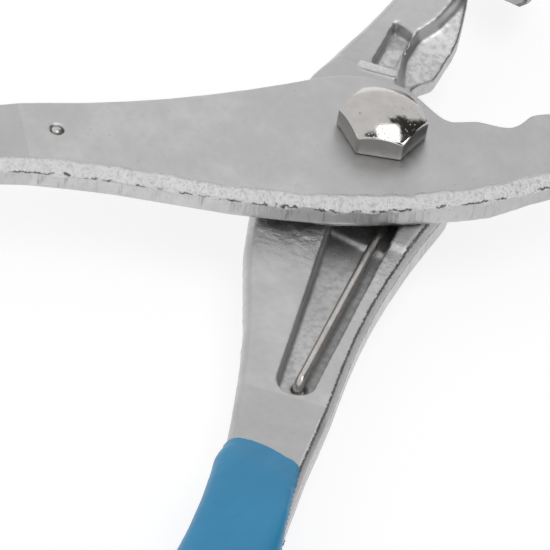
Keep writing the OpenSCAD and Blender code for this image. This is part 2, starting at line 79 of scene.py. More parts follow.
# The bolt: a hexagon head with its dome, and a shank
HEAD_Z = LAP_Z + 6.75
HEAD_AF = 14.0
HEAD_CORNER = HEAD_AF / 2 / math.cos(math.pi / 6)
HEAD_TURN = math.radians(42.6)
HEAD_ROUND = 0.7
HEAD_EDGE = 0.28
CROWN = 6.2
DOME_RISE = 2.9
DOME_R = (HEAD_CORNER ** 2 + DOME_RISE ** 2) / (2 * DOME_RISE)
SHANK_R = 4.0

# The spring, in the lower arm's frame: its wire, coil, leg and hook
WIRE_R = 0.9
COIL_R = 6.5
COIL_RISE = 4.4
LEG_DROP = COIL_RISE / 9
HOOK = Vector((15.767, -55.4))
HOOK_END_Z = -6.55
HOOK_BEND_R = 1.8
# How far each hook lies off its hole's middle, the other way for the upper arm
HOOK_NUDGE = Vector((-0.16, 0.1))


# Numbers

def ease(start, end, at):
    """0 before start and 1 past end, smooth between them, with either one the larger."""
    t = np.clip((at - start) / (end - start), 0, 1)
    return t * t * (3 - 2 * t)


def lattice(ix, iy, iz, seed):
    """A repeatable value from -1 to 1 for each whole-numbered point."""
    h = (ix * 73856093) ^ (iy * 19349663) ^ (iz * 83492791) ^ (seed * 2654435761)
    h = (h ^ (h >> 13)) * 1274126177 & 0x7FFFFFFF
    h = (h ^ (h >> 15)) * 2246822519 & 0x7FFFFFFF
    return ((h ^ (h >> 16)) & 0xFFFFFF) / 0x7FFFFF - 1.0


def noise(points, size, seed):
    """Smooth value noise from -1 to 1, with cells of that size."""
    p = np.asarray(points, float) / size
    cell = np.floor(p).astype(np.int64)
    f = p - cell
    f = f * f * (3 - 2 * f)
    total = np.zeros(len(p))
    for dx in (0, 1):
        for dy in (0, 1):
            for dz in (0, 1):
                weight = (np.where(dx, f[:, 0], 1 - f[:, 0]) * np.where(dy, f[:, 1], 1 - f[:, 1])
                          * np.where(dz, f[:, 2], 1 - f[:, 2]))
                total += weight * lattice(cell[:, 0] + dx, cell[:, 1] + dy, cell[:, 2] + dz, seed)
    return total


def fractal(points, size, seed, octaves=3):
    """Noise from -1 to 1 with finer and weaker noise on it."""
    total, scale, weight = 0, size, 1.0
    for k in range(octaves):
        total = total + weight * noise(points, scale, seed + 17 * k)
        scale, weight = scale / 2, weight / 2
    return total / (2 - 2 ** (1 - octaves))


def turned(p, angle):
    c, s = math.cos(angle), math.sin(angle)
    return np.stack([p[:, 0] * c - p[:, 1] * s, p[:, 1] * c + p[:, 0] * s, p[:, 2]], 1)


def to_arm(points, upper):
    """Scene metres to an arm's own frame in millimetres."""
    p = np.asarray(points, float) / MM - [0, 0, LAP_Z]
    if upper:
        p = p * [-1, 1, -1]
    return turned(p, -OPEN_ANGLE)


def to_scene(points, upper):
    """An arm's own frame in millimetres to scene metres."""
    p = turned(np.asarray(points, float), OPEN_ANGLE)
    if upper:
        p = p * [-1, 1, -1]
    return (p + [0, 0, LAP_Z]) * MM


def middle_z(v):
    """Height of an arm's middle plane."""
    return ARM_MID * (1 - np.where(v < 0, ease(*HANDLE_BEND, -v), ease(*JAW_BEND, v)))


def spring_leg():
    """Where the spring's leg leaves its coil, its way to the hook and that way's angle."""
    angle = math.atan2(HOOK.y, HOOK.x) - math.asin(COIL_R / HOOK.length)
    leave_at = angle + math.pi / 2
    leave = COIL_R * Vector((math.cos(leave_at), math.sin(leave_at)))
    return leave, Vector((math.cos(angle), math.sin(angle))), angle


# Meshes and objects

def coordinates(mesh):
    co = np.zeros(len(mesh.vertices) * 3)
    mesh.vertices.foreach_get("co", co)
    return co.reshape(-1, 3)


def set_coordinates(mesh, co):
    mesh.vertices.foreach_set("co", np.asarray(co, np.float32).ravel())
    mesh.update()


def normals(mesh):
    out = np.zeros(len(mesh.vertices) * 3, np.float32)
    mesh.vertex_normals.foreach_get("vector", out)
    return out.reshape(-1, 3).astype(float)


def edge_list(mesh):
    out = np.zeros(len(mesh.edges) * 2, np.int32)
    mesh.edges.foreach_get("vertices", out)
    return out.reshape(-1, 2)


def neighbour_mean(values, edges, count):
    a, b = edges[:, 0], edges[:, 1]
    links = np.bincount(a, minlength=count) + np.bincount(b, minlength=count)
    out = np.zeros_like(values)
    for k in range(values.shape[1]):
        out[:, k] = np.bincount(a, values[b, k], count) + np.bincount(b, values[a, k], count)
    return out / np.maximum(links, 1)[:, None]


def relaxed(values, edges, times, share=0.5):
    """Rows of values, one for each vertex, drawn towards their neighbours' mean."""
    for _ in range(times):
        values = values + share * (neighbour_mean(values, edges, len(values)) - values)
    return values


def relaxed_column(values, edges, times):
    return relaxed(values[:, None], edges, times)[:, 0]


def add_attribute(mesh, name, values, kind="FLOAT"):
    attribute = mesh.attributes.new(name, kind, "POINT")
    field = "vector" if kind == "FLOAT_VECTOR" else "value"
    attribute.data.foreach_set(field, np.asarray(values, np.float32).ravel())


def place_object(name, data):
    obj = bpy.data.objects.new(name, data)
    bpy.context.scene.collection.objects.link(obj)
    return obj


def new_object(name, mesh, material, smooth_angle=None):
    """A smooth-shaded object, with edges over the angle, in degrees, kept sharp."""
    obj = place_object(name, mesh)
    mesh.materials.clear()
    mesh.materials.append(material)
    mesh.polygons.foreach_set("use_smooth", [True] * len(mesh.polygons))
    if smooth_angle:
        mesh.set_sharp_from_angle(angle=math.radians(smooth_angle))
    return obj


def stand_for(obj, node, body):
    """The object takes the place of a CAD node on its body."""
    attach(obj, body)
    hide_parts(node)


def remeshed(mesh, voxel):
    """A fine even skin of a closed mesh, in the mesh's own units."""
    temp = place_object("temp", mesh)
    change = temp.modifiers.new("skin", "REMESH")
    change.mode = "VOXEL"
    change.voxel_size = voxel
    depsgraph = bpy.context.evaluated_depsgraph_get()
    out = bpy.data.meshes.new_from_object(temp.evaluated_get(depsgraph))
    bpy.data.objects.remove(temp)
    return out


def node_mesh(node):
    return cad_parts[node].data.copy()


# Node trees

class Nodes:
    """A node tree, built a node at a time."""

    def __init__(self, tree):
        self.tree = tree

    def node(self, kind, **inputs):
        """A new node. A key is the name of an input or, after an underscore, its number."""
        made = self.tree.nodes.new(kind)
        for key, value in inputs.items():
            self.put(made, key, value)
        return made

    def put(self, node, key, value):
        """Links a socket to the input, or gives the input a plain value."""
        socket = node.inputs[int(key[1:]) if key[0] == "_" else key.replace("_", " ")]
        if isinstance(value, bpy.types.NodeSocket):
            self.tree.links.new(value, socket)
        else:
            socket.default_value = value

    def math(self, operation, a, b=0.0, clamp=False):
        made = self.node("ShaderNodeMath", _0=a, _1=b)
        made.operation = operation
        made.use_clamp = clamp
        return made.outputs[0]

    def plus(self, a, b):
        return self.math("ADD", a, b)

    def minus(self, a, b):
        return self.math("SUBTRACT", a, b)

    def times(self, a, b):
        return self.math("MULTIPLY", a, b)

    def most(self, a, b):
        return self.math("MAXIMUM", a, b)

    def ramp(self, value, low, high, to_low=0.0, to_high=1.0, kind="SMOOTHSTEP"):
        """Goes from to_low, where the value is low, to to_high, where it is high."""
        made = self.node("ShaderNodeMapRange", _0=value, _1=low, _2=high, _3=to_low, _4=to_high)
        made.interpolation_type = kind
        return made.outputs[0]

    def split(self, vector):
        return self.node("ShaderNodeSeparateXYZ", Vector=vector).outputs

    def seen(self):
        """1 for what the camera, reflections and glass show, 0 for light that falls on the object."""
        path = self.node("ShaderNodeLightPath").outputs
        shown = self.most(path["Is Camera Ray"], path["Is Glossy Ray"])
        return self.most(shown, path["Is Transmission Ray"])


class Shader(Nodes):
    """A new material and the nodes round its Principled shader."""

    def __init__(self, name):
        self.material = bpy.data.materials.new(name)
        self.material.use_nodes = True
        super().__init__(self.material.node_tree)
        self.bsdf = self.tree.nodes["Principled BSDF"]

    def set(self, key, value):
        self.put(self.bsdf, key, value)

    def surface(self, tone, roughness, metallic=1.0):
        self.set("Base Color", tone)
        self.set("Metallic", metallic)
        self.set("Roughness", roughness)

    def attribute(self, name, vector=False):
        made = self.node("ShaderNodeAttribute")
        made.attribute_name = name
        return made.outputs["Vector" if vector else "Fac"]

    def object_place(self):
        return self.node("ShaderNodeTexCoord").outputs["Object"]

    def stretched(self, vector, scale):
        return self.node("ShaderNodeMapping", Vector=vector, Scale=scale).outputs[0]

    def noise(self, vector, scale, detail, roughness):
        made = self.node("ShaderNodeTexNoise", Vector=vector, Scale=scale, Detail=detail,
                         Roughness=roughness)
        return made.outputs["Fac"]

    def spots(self, vector, scale, size, edge):
        """1 inside small round spots, 0 elsewhere."""
        made = self.node("ShaderNodeTexVoronoi", Vector=vector, Scale=scale)
        return self.ramp(made.outputs["Distance"], size + edge, size)

    def near(self, value, at, width):
        """1 where the value is at that place, 0 beyond the width on each side."""
        off = self.math("ABSOLUTE", self.minus(value, at))
        return self.ramp(off, width, 0.35 * width)

    def mix(self, share, a, b):
        made = self.node("ShaderNodeMix")
        made.data_type = "RGBA"
        for key, value in (("_0", share), ("_6", a), ("_7", b)):
            self.put(made, key, value)
        return made.outputs[2]

    def layered(self, tone, *layers):
        """The tone with layers over it, each a share and a colour."""
        for share, colour in layers:
            tone = self.mix(share, tone, colour)
        return tone

    def relief(self, *bumps):
        """Bumps over each other, each a height, its distance in metres and its strength."""
        normal = None
        for height, distance, strength in bumps:
            made = self.node("ShaderNodeBump", Height=height, Distance=distance, Strength=strength)
            if normal is not None:
                self.put(made, "Normal", normal)
            normal = made.outputs["Normal"]
        self.set("Normal", normal)


# Materials. Noise scales are per millimetre where a material reads place, and per metre elsewhere

def grey(value, warm=0.0):
    """A grey with more red and less blue by that share."""
    return (value * (1 + warm), value, value * (1 - warm), 1.0)


BOLT_TONES = ((0.575, 0.555, 0.535, 1), (0.635, 0.615, 0.59, 1))
# Painted shade for the bolt head's flanks
BOLT_FLANK_SHADE = (0.27, 0.262, 0.26, 1)
PLATE_TONES = ((0.50, 0.505, 0.51, 1), (0.62, 0.62, 0.615, 1))
VINYL_TONES = ((0.026, 0.248, 0.470, 1), (0.035, 0.280, 0.515, 1))
VINYL_PALE = (0.055, 0.29, 0.50, 1)
VINYL_PIN = (0.02, 0.17, 0.32, 1)
NYLON_TONES = ((0.70, 0.70, 0.66, 1), (0.82, 0.82, 0.79, 1))

# The masks that an arm's skin carries for its steel, and where its tones change, as v: painted shade
# towards the jaw, painted shade below the handle's bend, and painted light making the channel's floor
# paler towards its end by the pivot
STEEL_MASKS = ("rough", "wall", "hollow_dark_and_leg_shadow", "hammer", "recess")
PIVOT_SHADE_SPAN = (-22.0, 14.0)
BEND_SHADE_SPAN = (-64.9, -65.5)
BEND_SHADE_SLOPE = 0.234
CHANNEL_FILL_SPAN = (-36.0, -22.0)


def bevel_seams(s, from_right, fall, uneven, handle):
    """Dark lines along the lapped face's right bevel: a broad one above, a thin one below."""
    wander = s.times(s.minus(uneven, 0.5), 0.9)
    above = s.times(s.near(s.minus(from_right, wander), LAP_BEVEL + 0.02, 0.3), s.ramp(fall, 0.75, 0.45))
    below = s.times(s.near(s.minus(fall, wander), LAP_BEVEL + 0.2, 0.2), s.ramp(from_right, 0.7, 0.45))
    line = s.most(above, s.times(below, 0.75))
    return s.times(s.times(line, handle), s.ramp(uneven, 0.3, 0.52, 0.35, 0.85))


def undercut_shadow(s, from_left, height, place):
    """Painted shadow in broken nicks under the flash, where the ragged bevel meets the left wall."""
    jag = s.times(s.minus(s.noise(place, 0.9, 4.0, 0.7), 0.5), 1.5)
    line = s.near(s.minus(height, jag), BEVEL + 0.15, 0.2)
    broken = s.ramp(s.noise(place, 0.42, 2.0, 0.5), 0.47, 0.56, 0.0, 0.85)
    return s.times(s.times(line, broken), s.ramp(from_left, 0.8, 0.5))


def worn_steel():
    """Tumbled forged steel: satin flats, a rough bright flash edge, grained walls."""
    s = Shader("forged_steel")
    place = s.attribute("place", True)
    rough, wall, hollow_dark_and_leg_shadow, hammer, recess = (s.attribute(name) for name in STEEL_MASKS)
    from_left, from_right, height = s.split(s.attribute("lanes", True))
    across, along = s.split(place)[:2]
    fall = s.minus(2 * HALF_T, height)
    handle = s.ramp(along, JAW_START[1], JAW_START[0])
    strip = s.times(s.near(s.plus(from_right, fall), LAP_BEVEL, 0.35), handle)
    cloud = s.noise(place, 0.55, 4.0, 0.6)
    streak = s.noise(s.stretched(place, (1.1, 1.1, 0.16)), 1.0, 5.0, 0.75)
    uneven = s.noise(place, 1.3, 5.0, 0.75)
    flake = s.noise(place, 1.7, 5.0, 0.65)
    bend_shade_at = s.minus(along, s.times(across, BEND_SHADE_SLOPE))
    mottle = s.ramp(s.noise(place, 0.7, 4.0, 0.7), 0.42, 0.62, 0.05, 0.5)
    crack = s.near(s.noise(s.stretched(place, (0.3, 0.8, 0.8)), 1.0, 4.0, 0.65), 0.5, 0.03)
    flash = s.mix(s.ramp(flake, 0.36, 0.52), grey(0.82), grey(0.98))
    dark_lines = s.most(bevel_seams(s, from_right, fall, uneven, handle), undercut_shadow(s, from_left, height, place))
    tone = s.layered(
        s.mix(s.ramp(s.noise(place, 0.09, 3.0, 0.55), 0.35, 0.7), grey(0.60), grey(0.69)),
        (s.ramp(cloud, 0.3, 0.75, 0.0, 0.35), grey(0.54)),
        (s.times(wall, s.ramp(streak, 0.52, 0.68, 0.0, 0.75)), grey(0.34)),
        # painted shade: darker from below the pivot towards the jaw, as under the bolt's head and the
        # other arm
        (s.ramp(along, *PIVOT_SHADE_SPAN, 0.0, 0.35), grey(0.5)),
        # painted shade below the handle's bend, where the bent face turns from the light
        (s.ramp(bend_shade_at, *BEND_SHADE_SPAN, 0.0, 0.5), grey(0.52)),
        # painted light: the channel's floor made paler towards the pivot, where the upper arm shades it
        (s.times(recess, s.ramp(along, *CHANNEL_FILL_SPAN, 0.0, 0.8)), grey(0.85)),
        (s.times(recess, mottle), grey(0.38)),
        (strip, grey(0.78)),
        (s.times(rough, 0.95), flash),
        (s.times(hammer, s.times(crack, 0.4)), grey(0.2)),
        (s.times(s.spots(place, 0.45, 0.03, 0.05), 0.5), grey(0.2)),
        # dark lines along the right bevel, and painted shadow in nicks under the flash
        (dark_lines, grey(0.07)),
        # darker in the hollows, and painted shadow on the channel's floor past the spring's leg
        (hollow_dark_and_leg_shadow, grey(0.07)))
    fine = s.ramp(s.noise(place, 0.7, 4.0, 0.6), 0.3, 0.7, 0.37, 0.48)
    fine = s.plus(fine, s.times(strip, 0.2))
    s.surface(tone, s.math("ADD", fine, s.times(rough, 0.12), clamp=True))
    s.relief((s.noise(place, 3.2, 4.0, 0.65), 0.00003, 0.55),
             (s.times(wall, s.ramp(streak, 0.4, 0.7)), 0.0002, 0.45),
             (s.times(rough, flake), 0.0009, 0.7),
             (s.times(hammer, s.noise(place, 0.5, 4.0, 0.6)), 0.0006, 0.7))
    return s.material


def polished_steel():
    """Tumble-polished bolt: small pits and a faint orange peel, with painted shade darkening the head's
    flanks below its top.
    """
    s = Shader("polished_steel")
    place = s.object_place()
    pitted = s.ramp(s.noise(place, 330.0, 3.0, 0.6), 0.46, 0.6)
    pits = s.times(s.spots(place, 1500.0, 0.1, 0.14), pitted)
    # painted shade: faces turned sideways are darkened
    flank = s.ramp(s.split(s.node("ShaderNodeTexCoord").outputs["Normal"])[2], 0.35, 0.15)
    tone = s.layered(
        s.mix(s.ramp(s.noise(place, 260.0, 3.0, 0.6), 0.35, 0.7), *BOLT_TONES),
        (s.times(pits, 0.45), grey(0.2, 0.03)),
        (s.times(s.spots(place, 240.0, 0.05, 0.08), 0.5), grey(0.15, 0.03)),
        (s.times(flank, 0.75), BOLT_FLANK_SHADE))
    s.surface(tone, s.ramp(s.noise(place, 900.0, 4.0, 0.6), 0.3, 0.7, 0.06, 0.15))
    s.relief((s.noise(place, 700.0, 3.0, 0.6), 0.0001, 0.12),
             (s.noise(place, 2600.0, 3.0, 0.6), 0.00003, 0.3),
             (s.times(pits, -1.0), 0.0001, 0.6))
    return s.material


def plated_steel():
    """Zinc plating: faintly blotched, with a fine grain."""
    s = Shader("plated_steel")
    place = s.object_place()
    blotch = s.noise(place, 300.0, 4.0, 0.6)
    grain = s.noise(place, 2500.0, 3.0, 0.6)
    s.surface(s.mix(s.ramp(blotch, 0.3, 0.7), *PLATE_TONES), s.ramp(grain, 0.3, 0.7, 0.26, 0.4))
    s.relief((blotch, 0.0001, 0.3), (grain, 0.00003, 0.5))
    return s.material


def machined_steel():
    """Turned tips: fine rings round the tip's axis and a darker, oiled tone."""
    s = Shader("machined_steel")
    place = s.attribute("place", True)
    across, along, height = s.split(place)
    rings = 7.0
    radius = s.math("SQRT", s.plus(s.math("POWER", s.minus(along, EYE_V), 2.0),
                                   s.math("POWER", height, 2.0)))
    lines = s.node("ShaderNodeCombineXYZ", X=s.times(radius, rings), Y=s.times(across, rings)).outputs[0]
    ringed = s.noise(lines, 1.0, 3.0, 0.6)
    blotch = s.noise(place, 0.35, 4.0, 0.6)
    tone = s.layered(
        s.mix(s.ramp(blotch, 0.3, 0.7), grey(0.30, 0.01), grey(0.40, 0.01)),
        (s.ramp(ringed, 0.35, 0.7, 0.0, 0.4), grey(0.5)))
    s.surface(tone, s.ramp(blotch, 0.3, 0.7, 0.3, 0.42))
    s.relief((ringed, 0.00005, 0.5))
    return s.material


def spring_wire():
    """Drawn spring wire, faintly straw-coloured."""
    s = Shader("spring_wire")
    place = s.object_place()
    blotch = s.noise(place, 350.0, 4.0, 0.6)
    draw = s.noise(place, 2600.0, 3.0, 0.65)
    tone = s.layered(
        s.mix(s.ramp(blotch, 0.3, 0.7), grey(0.58, 0.035), grey(0.69, 0.035)),
        (s.ramp(draw, 0.4, 0.75, 0.0, 0.5), grey(0.4, 0.06)))
    s.surface(tone, s.ramp(draw, 0.3, 0.7, 0.26, 0.38))
    s.relief((draw, 0.00003, 0.5))
    return s.material


def dipped_vinyl():
    """Dipped vinyl: satin blue skin with faint runs and pin marks."""
    s = Shader("vinyl")
    place = s.attribute("place", True)
    runs = s.noise(s.stretched(place, (0.16, 0.05, 0.16)), 1.0, 3.0, 0.5)
    skin = s.noise(place, 1.4, 4.0, 0.6)
    pins = s.spots(place, 0.33, 0.05, 0.07)
    tone = s.layered(
        s.mix(s.ramp(runs, 0.3, 0.7), *VINYL_TONES),
        (s.ramp(skin, 0.45, 0.8, 0.0, 0.2), VINYL_PALE),
        (s.times(pins, 0.15), VINYL_PIN))
    s.surface(tone, s.ramp(skin, 0.3, 0.7, 0.36, 0.46), metallic=0.0)
    s.set("Specular IOR Level", 0.45)
    s.relief((runs, 0.0004, 0.35), (skin, 0.00006, 0.4), (s.times(pins, -1.0), 0.00012, 0.6))
    return s.material


def nylon():
    """The nut's locking ring: cloudy white nylon."""
    s = Shader("nylon")
    cloud = s.noise(s.object_place(), 500.0, 3.0, 0.6)
    s.surface(s.mix(cloud, *NYLON_TONES), s.ramp(cloud, 0.3, 0.7, 0.4, 0.55), metallic=0.0)
    s.set("Subsurface Weight", 0.15)
    s.set("Subsurface Radius", (MM, MM, MM))
    s.relief((cloud, 0.00004, 0.4))
    return s.material


# Arms

# Size of the cells of an arm's skin
SKIN_VOXEL = 0.36
# Half the square root of two, the share of a cut square to the bevel that goes each way
DIAGONAL = 0.7071
# Ragged flash: how far it eats past the bevel, how deep at most, how far in and up it is looked for,
# and the heights and lengths of the waves in its edge
FLASH_PAST = 0.3
FLASH_DEPTH = 0.75
FLASH_REACH = (2.6, 2.9)
FLASH_WAVES = ((0.22, 5.0), (0.16, 1.7))
FLASH_JAGS = (0.14, 0.9)
# The jaw's ridge is rough where it stands this far above the lapped face
RIDGE_RISE = (0.7, 0.95)
# Depths below the lapped face at which the hammered plateau fades, and a recess begins
PLATEAU_DEPTH = (0.9, 0.4)
RECESS_DEPTH = (1.3, 2.0)
# How far from the left side these marks start
PLATEAU_IN = (0.4, 1.4)
RECESS_IN = (2.2, 3.2)
# Hammered relief beside the lap: its middle as v, and how far it spreads
HAMMER_V = -23.0
HAMMER_SPREAD = 8.0
# Walls inside the channel lie this far from the sides, and reach up to this v
WALL_IN = 2.4
CHANNEL_END_V = -16.0
# Reliefs of the skin, each as its height and the size of its cells
FLAKE_HEIGHT, FLAKE_SIZE = 0.12, 1.6
GRIT_HEIGHT, GRIT_SIZE = 0.12, 0.75
HAMMER_HEIGHT, HAMMER_SIZE = 0.15, 2.2
WAVE_HEIGHT, WAVE_SIZE = 0.035, 7.0
RIPPLE_HEIGHT, RIPPLE_SIZE = 0.012, 2.2
SCALE_HEIGHT, SCALE_SIZE = 0.06, 1.8
WALL_HEIGHT, WALL_SIZE = 0.1, 1.5
# Flakes come in levels, so many to a unit of noise, and the plateau has some relief all over
FLAKE_LEVELS = 2.2
PLATEAU_HEIGHT = 0.03
# Scale lies only on floors that are further than this above the outer face
SCALE_ABOVE = 0.5
# The lapped pad stays flat between these, as v, and within this depth, and is eased back by a hair
PAD_SPAN = (-20.0, 24.0)
PAD_DEPTH = 0.3
PAD_EASE = 0.02
# Hollows that are painted darker: how far, in millimetres, their points lie below their neighbours' mean
HOLLOW = (0.012, 0.05)
# Painted shadow past the spring's leg sets in between these distances across from its middle line
PAST_LEG = (0.3, 1.1)
# The eye: the bore is kept clear within the first radius, and its ends are kept flat within the second
EYE_CLEAR_R = 4.2
EYE_FLAT_R = 7.2


def side_edges(co):
    """The arm's left and right edges as smooth functions of v, and their slopes' cosines."""
    width, window = 0.5, 5
    index = np.floor((co[:, 1] - co[:, 1].min()) / width).astype(int)
    count = index.max() + 1
    left, right = np.full(count, np.inf), np.full(count, -np.inf)
    np.minimum.at(left, index, co[:, 0])
    np.maximum.at(right, index, co[:, 0])
    at = co[:, 1].min() + (np.arange(count) + 0.5) * width
    for edge in (left, right):
        edge[:] = np.convolve(np.pad(edge, window // 2, "edge"), np.ones(window) / window, "valid")
    slope_l, slope_r = np.gradient(left, width), np.gradient(right, width)
    return at, left, right, np.cos(np.arctan(slope_l)), np.cos(np.arctan(slope_r))


def edge_distances(co):
    """How far each point lies from the arm's left edge and from its right edge."""
    at, left, right, cos_l, cos_r = side_edges(co)
    v = co[:, 1]
    from_left = (co[:, 0] - np.interp(v, at, left)) * np.interp(v, at, cos_l)
    from_right = (np.interp(v, at, right) - co[:, 0]) * np.interp(v, at, cos_r)
    return from_left, from_right


def arm_skin(node, upper):
    """A fine even skin of an arm's solid, in the arm's own frame."""
    mesh = node_mesh(node)
    set_coordinates(mesh, to_arm(coordinates(mesh), upper))
    mesh = remeshed(mesh, SKIN_VOXEL)
    set_coordinates(mesh, relaxed(coordinates(mesh), edge_list(mesh), 3))
    return mesh


def clear_eye(co):
    """Leaves room for the tip's stem in the eye, and for what stands on the eye's two ends."""
    v, z = co[:, 1] - EYE_V, co[:, 2]
    radius = np.maximum(np.hypot(v, z), TINY)
    room = np.where(radius < EYE_CLEAR_R, np.maximum(radius, EYE_BORE_R), radius) / radius
    co[:, 1], co[:, 2] = EYE_V + v * room, z * room
    co[:, 0] = np.where(radius < EYE_FLAT_R, np.clip(co[:, 0], *EYE_ENDS), co[:, 0])


class ArmMarks:
    """The forge and trimming marks of an arm's skin, worked out for each of its points.

    place keeps the points as they were. v and z are views of co, so they follow it as it moves.
    """

    def __init__(self, mesh, seed):
        self.seed = seed
        self.co, self.normal, self.edges = coordinates(mesh), normals(mesh), edge_list(mesh)
        self.place = self.co.copy()
        self.v, self.z = self.co[:, 1], self.co[:, 2]
        self.from_left, self.from_right = edge_distances(self.co)
        self.top, self.low = middle_z(self.v) + HALF_T, middle_z(self.v) - HALF_T
        self.off_eye = 1 - ease(*EYE_START, self.v)
        self.on_handle = 1 - ease(*JAW_START, self.v)
        self.up = self.normal[:, 2]
        self.steep = 1 - np.abs(self.up)

    def depth(self):
        """How far each point lies below the level of the lapped face."""
        return self.top - self.z

    def cut_flash(self):
        """Cuts the ragged bevel along the outer face's left edge, and says where the skin is rough."""
        line = np.stack([self.v, np.zeros_like(self.v), np.zeros_like(self.v)], 1)
        height = self.z - self.low
        ragged = BEVEL + FLASH_PAST
        for k, (wave, length) in enumerate(FLASH_WAVES):
            ragged = ragged + wave * noise(line, length, self.seed + k)
        jag, size = FLASH_JAGS
        ragged = ragged + jag * noise(self.place * [1, 1, 2], size, self.seed + 2)
        deep = ragged - (self.from_left + height)
        by_edge = (self.from_left < FLASH_REACH[0]) & (height < FLASH_REACH[1])
        by_edge = by_edge.astype(float) * self.off_eye
        rough = relaxed_column(ease(-0.25, 0.05, deep) * by_edge, self.edges, 1)
        on_jaw = self.v > JAW_START[1]
        ridge = 0.8 * ease(*RIDGE_RISE, -self.depth()) * on_jaw * self.off_eye
        cut = np.clip(deep, 0, FLASH_DEPTH) * by_edge * DIAGONAL
        self.co[:, 0] += cut * DIAGONAL
        self.co[:, 2] += cut * DIAGONAL
        return np.maximum(rough, ridge)

    def hammered(self):
        """The plateau of the lapped face, and how near each point is to the lap's edge."""
        plateau = ease(0.55, 0.9, self.up) * ease(*PLATEAU_DEPTH, self.depth())
        hammer = plateau * self.on_handle * ease(*PLATEAU_IN, self.from_left)
        return hammer, np.exp(-((self.v - HAMMER_V) / HAMMER_SPREAD) ** 2)

    def recessed(self):
        """The floors of the channel and of the jaw's pocket."""
        return (ease(0.4, 0.9, self.up) * ease(*RECESS_DEPTH, self.depth())
                * ease(*RECESS_IN, self.from_left) * self.off_eye)

    def inner_walls(self):
        return (ease(0.8, 0.95, self.steep) * (self.from_left > WALL_IN) * (self.from_right > WALL_IN)
                * self.on_handle * (self.v < CHANNEL_END_V))

    def roughen(self, rough, hammer, by_lap, recess):
        """Moves the skin along its normals: flakes, hammering, waviness and scale, and none on the pad."""
        place, seed = self.place, self.seed
        flakes = np.round(FLAKE_LEVELS * fractal(place, FLAKE_SIZE, seed + 5, 2)) / FLAKE_LEVELS
        shift = rough * (FLAKE_HEIGHT * flakes + GRIT_HEIGHT * noise(place, GRIT_SIZE, seed + 6))
        blows = fractal(place * [0.6, 1, 1], HAMMER_SIZE, seed + 9)
        shift += hammer * (PLATEAU_HEIGHT + HAMMER_HEIGHT * by_lap) * blows
        wave = WAVE_HEIGHT * noise(place, WAVE_SIZE, seed + 11)
        shift += (wave + RIPPLE_HEIGHT * noise(place, RIPPLE_SIZE, seed + 12)) * self.off_eye
        scaly = recess * (self.z > self.low + SCALE_ABOVE)
        shift += scaly * SCALE_HEIGHT * fractal(place, SCALE_SIZE, seed + 14)
        shift += self.inner_walls() * WALL_HEIGHT * fractal(place, WALL_SIZE, seed + 16, 2)
        pad = (self.up > 0.7) & (self.z > PAD_Z - PAD_DEPTH)
        pad &= (self.v > PAD_SPAN[0]) & (self.v < PAD_SPAN[1])
        shift = np.where(pad, np.minimum(shift, 0) - PAD_EASE, shift)
        self.co += self.normal * shift[:, None]
        clear_eye(self.co)

    def hollow_dark_and_leg_shadow(self, recess):
        """Darker in the hollows, and painted shadow on the narrow side of the channel, past the spring's
        leg.
        """
        bends = ((neighbour_mean(self.co, self.edges, len(self.co)) - self.co) * self.normal).sum(1)
        hollow = ease(*HOLLOW, relaxed_column(bends, self.edges, 2))
        leave, way, _ = spring_leg()
        past_leg = self.place[:, 0] - (leave.x + (self.v - leave.y) * way.x / way.y)
        beside = recess * ease(*PAST_LEG, past_leg) * (self.v < 0)
        return np.maximum(relaxed_column(hollow, self.edges, 1) * 0.45, 0.4 * beside)


def work_arm(mesh, seed):
    """Gives the skin its forge and trimming marks, and the masks that its steel reads."""
    marks = ArmMarks(mesh, seed)
    rough = marks.cut_flash()
    hammer, by_lap = marks.hammered()
    recess = marks.recessed()
    marks.roughen(rough, hammer, by_lap, recess)
    wall = ease(0.75, 0.95, marks.steep) * (1 - rough)
    lanes = np.stack([marks.from_left, marks.from_right, marks.z - marks.low], 1)
    set_coordinates(mesh, marks.co)
    add_attribute(mesh, "place", marks.place, "FLOAT_VECTOR")
    add_attribute(mesh, "lanes", lanes, "FLOAT_VECTOR")
    masks = (rough, wall, marks.hollow_dark_and_leg_shadow(recess), np.clip(hammer * (0.08 + by_lap), 0, 1), recess)
    for name, values in zip(STEEL_MASKS, masks):
        add_attribute(mesh, name, values)


# Grips

# The coat's edge across the handle, in the arm's frame, and how much further it starts on the right wall
DIP_U = (13.5, 14.5, 15.2, 17.9, 21.2, 24.65, 26.4, 28.1, 29.2, 30.5)
DIP_V = (-79.6, -78.0, -76.8, -76.1, -76.1, -76.4, -76.6, -77.8, -79.0, -81.0)
DIP_RIGHT = 13.0
DIP_WAVE, DIP_WAVE_SIZE = 0.22, 5.0
# The coat begins this far below the steel, rises by its lip and swells to its full thickness
COAT_UNDER = 0.35
COAT_LIP = 0.8
COAT_RUN = (0.1, 7.0)
# It stays this far short of its full thickness, and sags by this much in cells of this size
COAT_SPARE = 0.03
COAT_SAG = 0.03
COAT_SAG_SIZE = 9.0
# The sleeve's inner wall lies this far inside the steel, and its mesh begins this far before the edge
COAT_INNER = 0.5
COAT_BEFORE = 1.6


def dip_edge(co, nrm, upper):
    """Where the coat begins, as a v for each point: a slanted, uneven edge."""
    from_right = edge_distances(co)[1]
    edge = np.interp(co[:, 0], DIP_U, DIP_V)
    edge -= DIP_RIGHT * ease(0.35, 1.0, nrm[:, 0]) * ease(3.2, 1.2, from_right)
    edge += DIP_WAVE * noise(co, DIP_WAVE_SIZE, 31 + upper)
    return edge


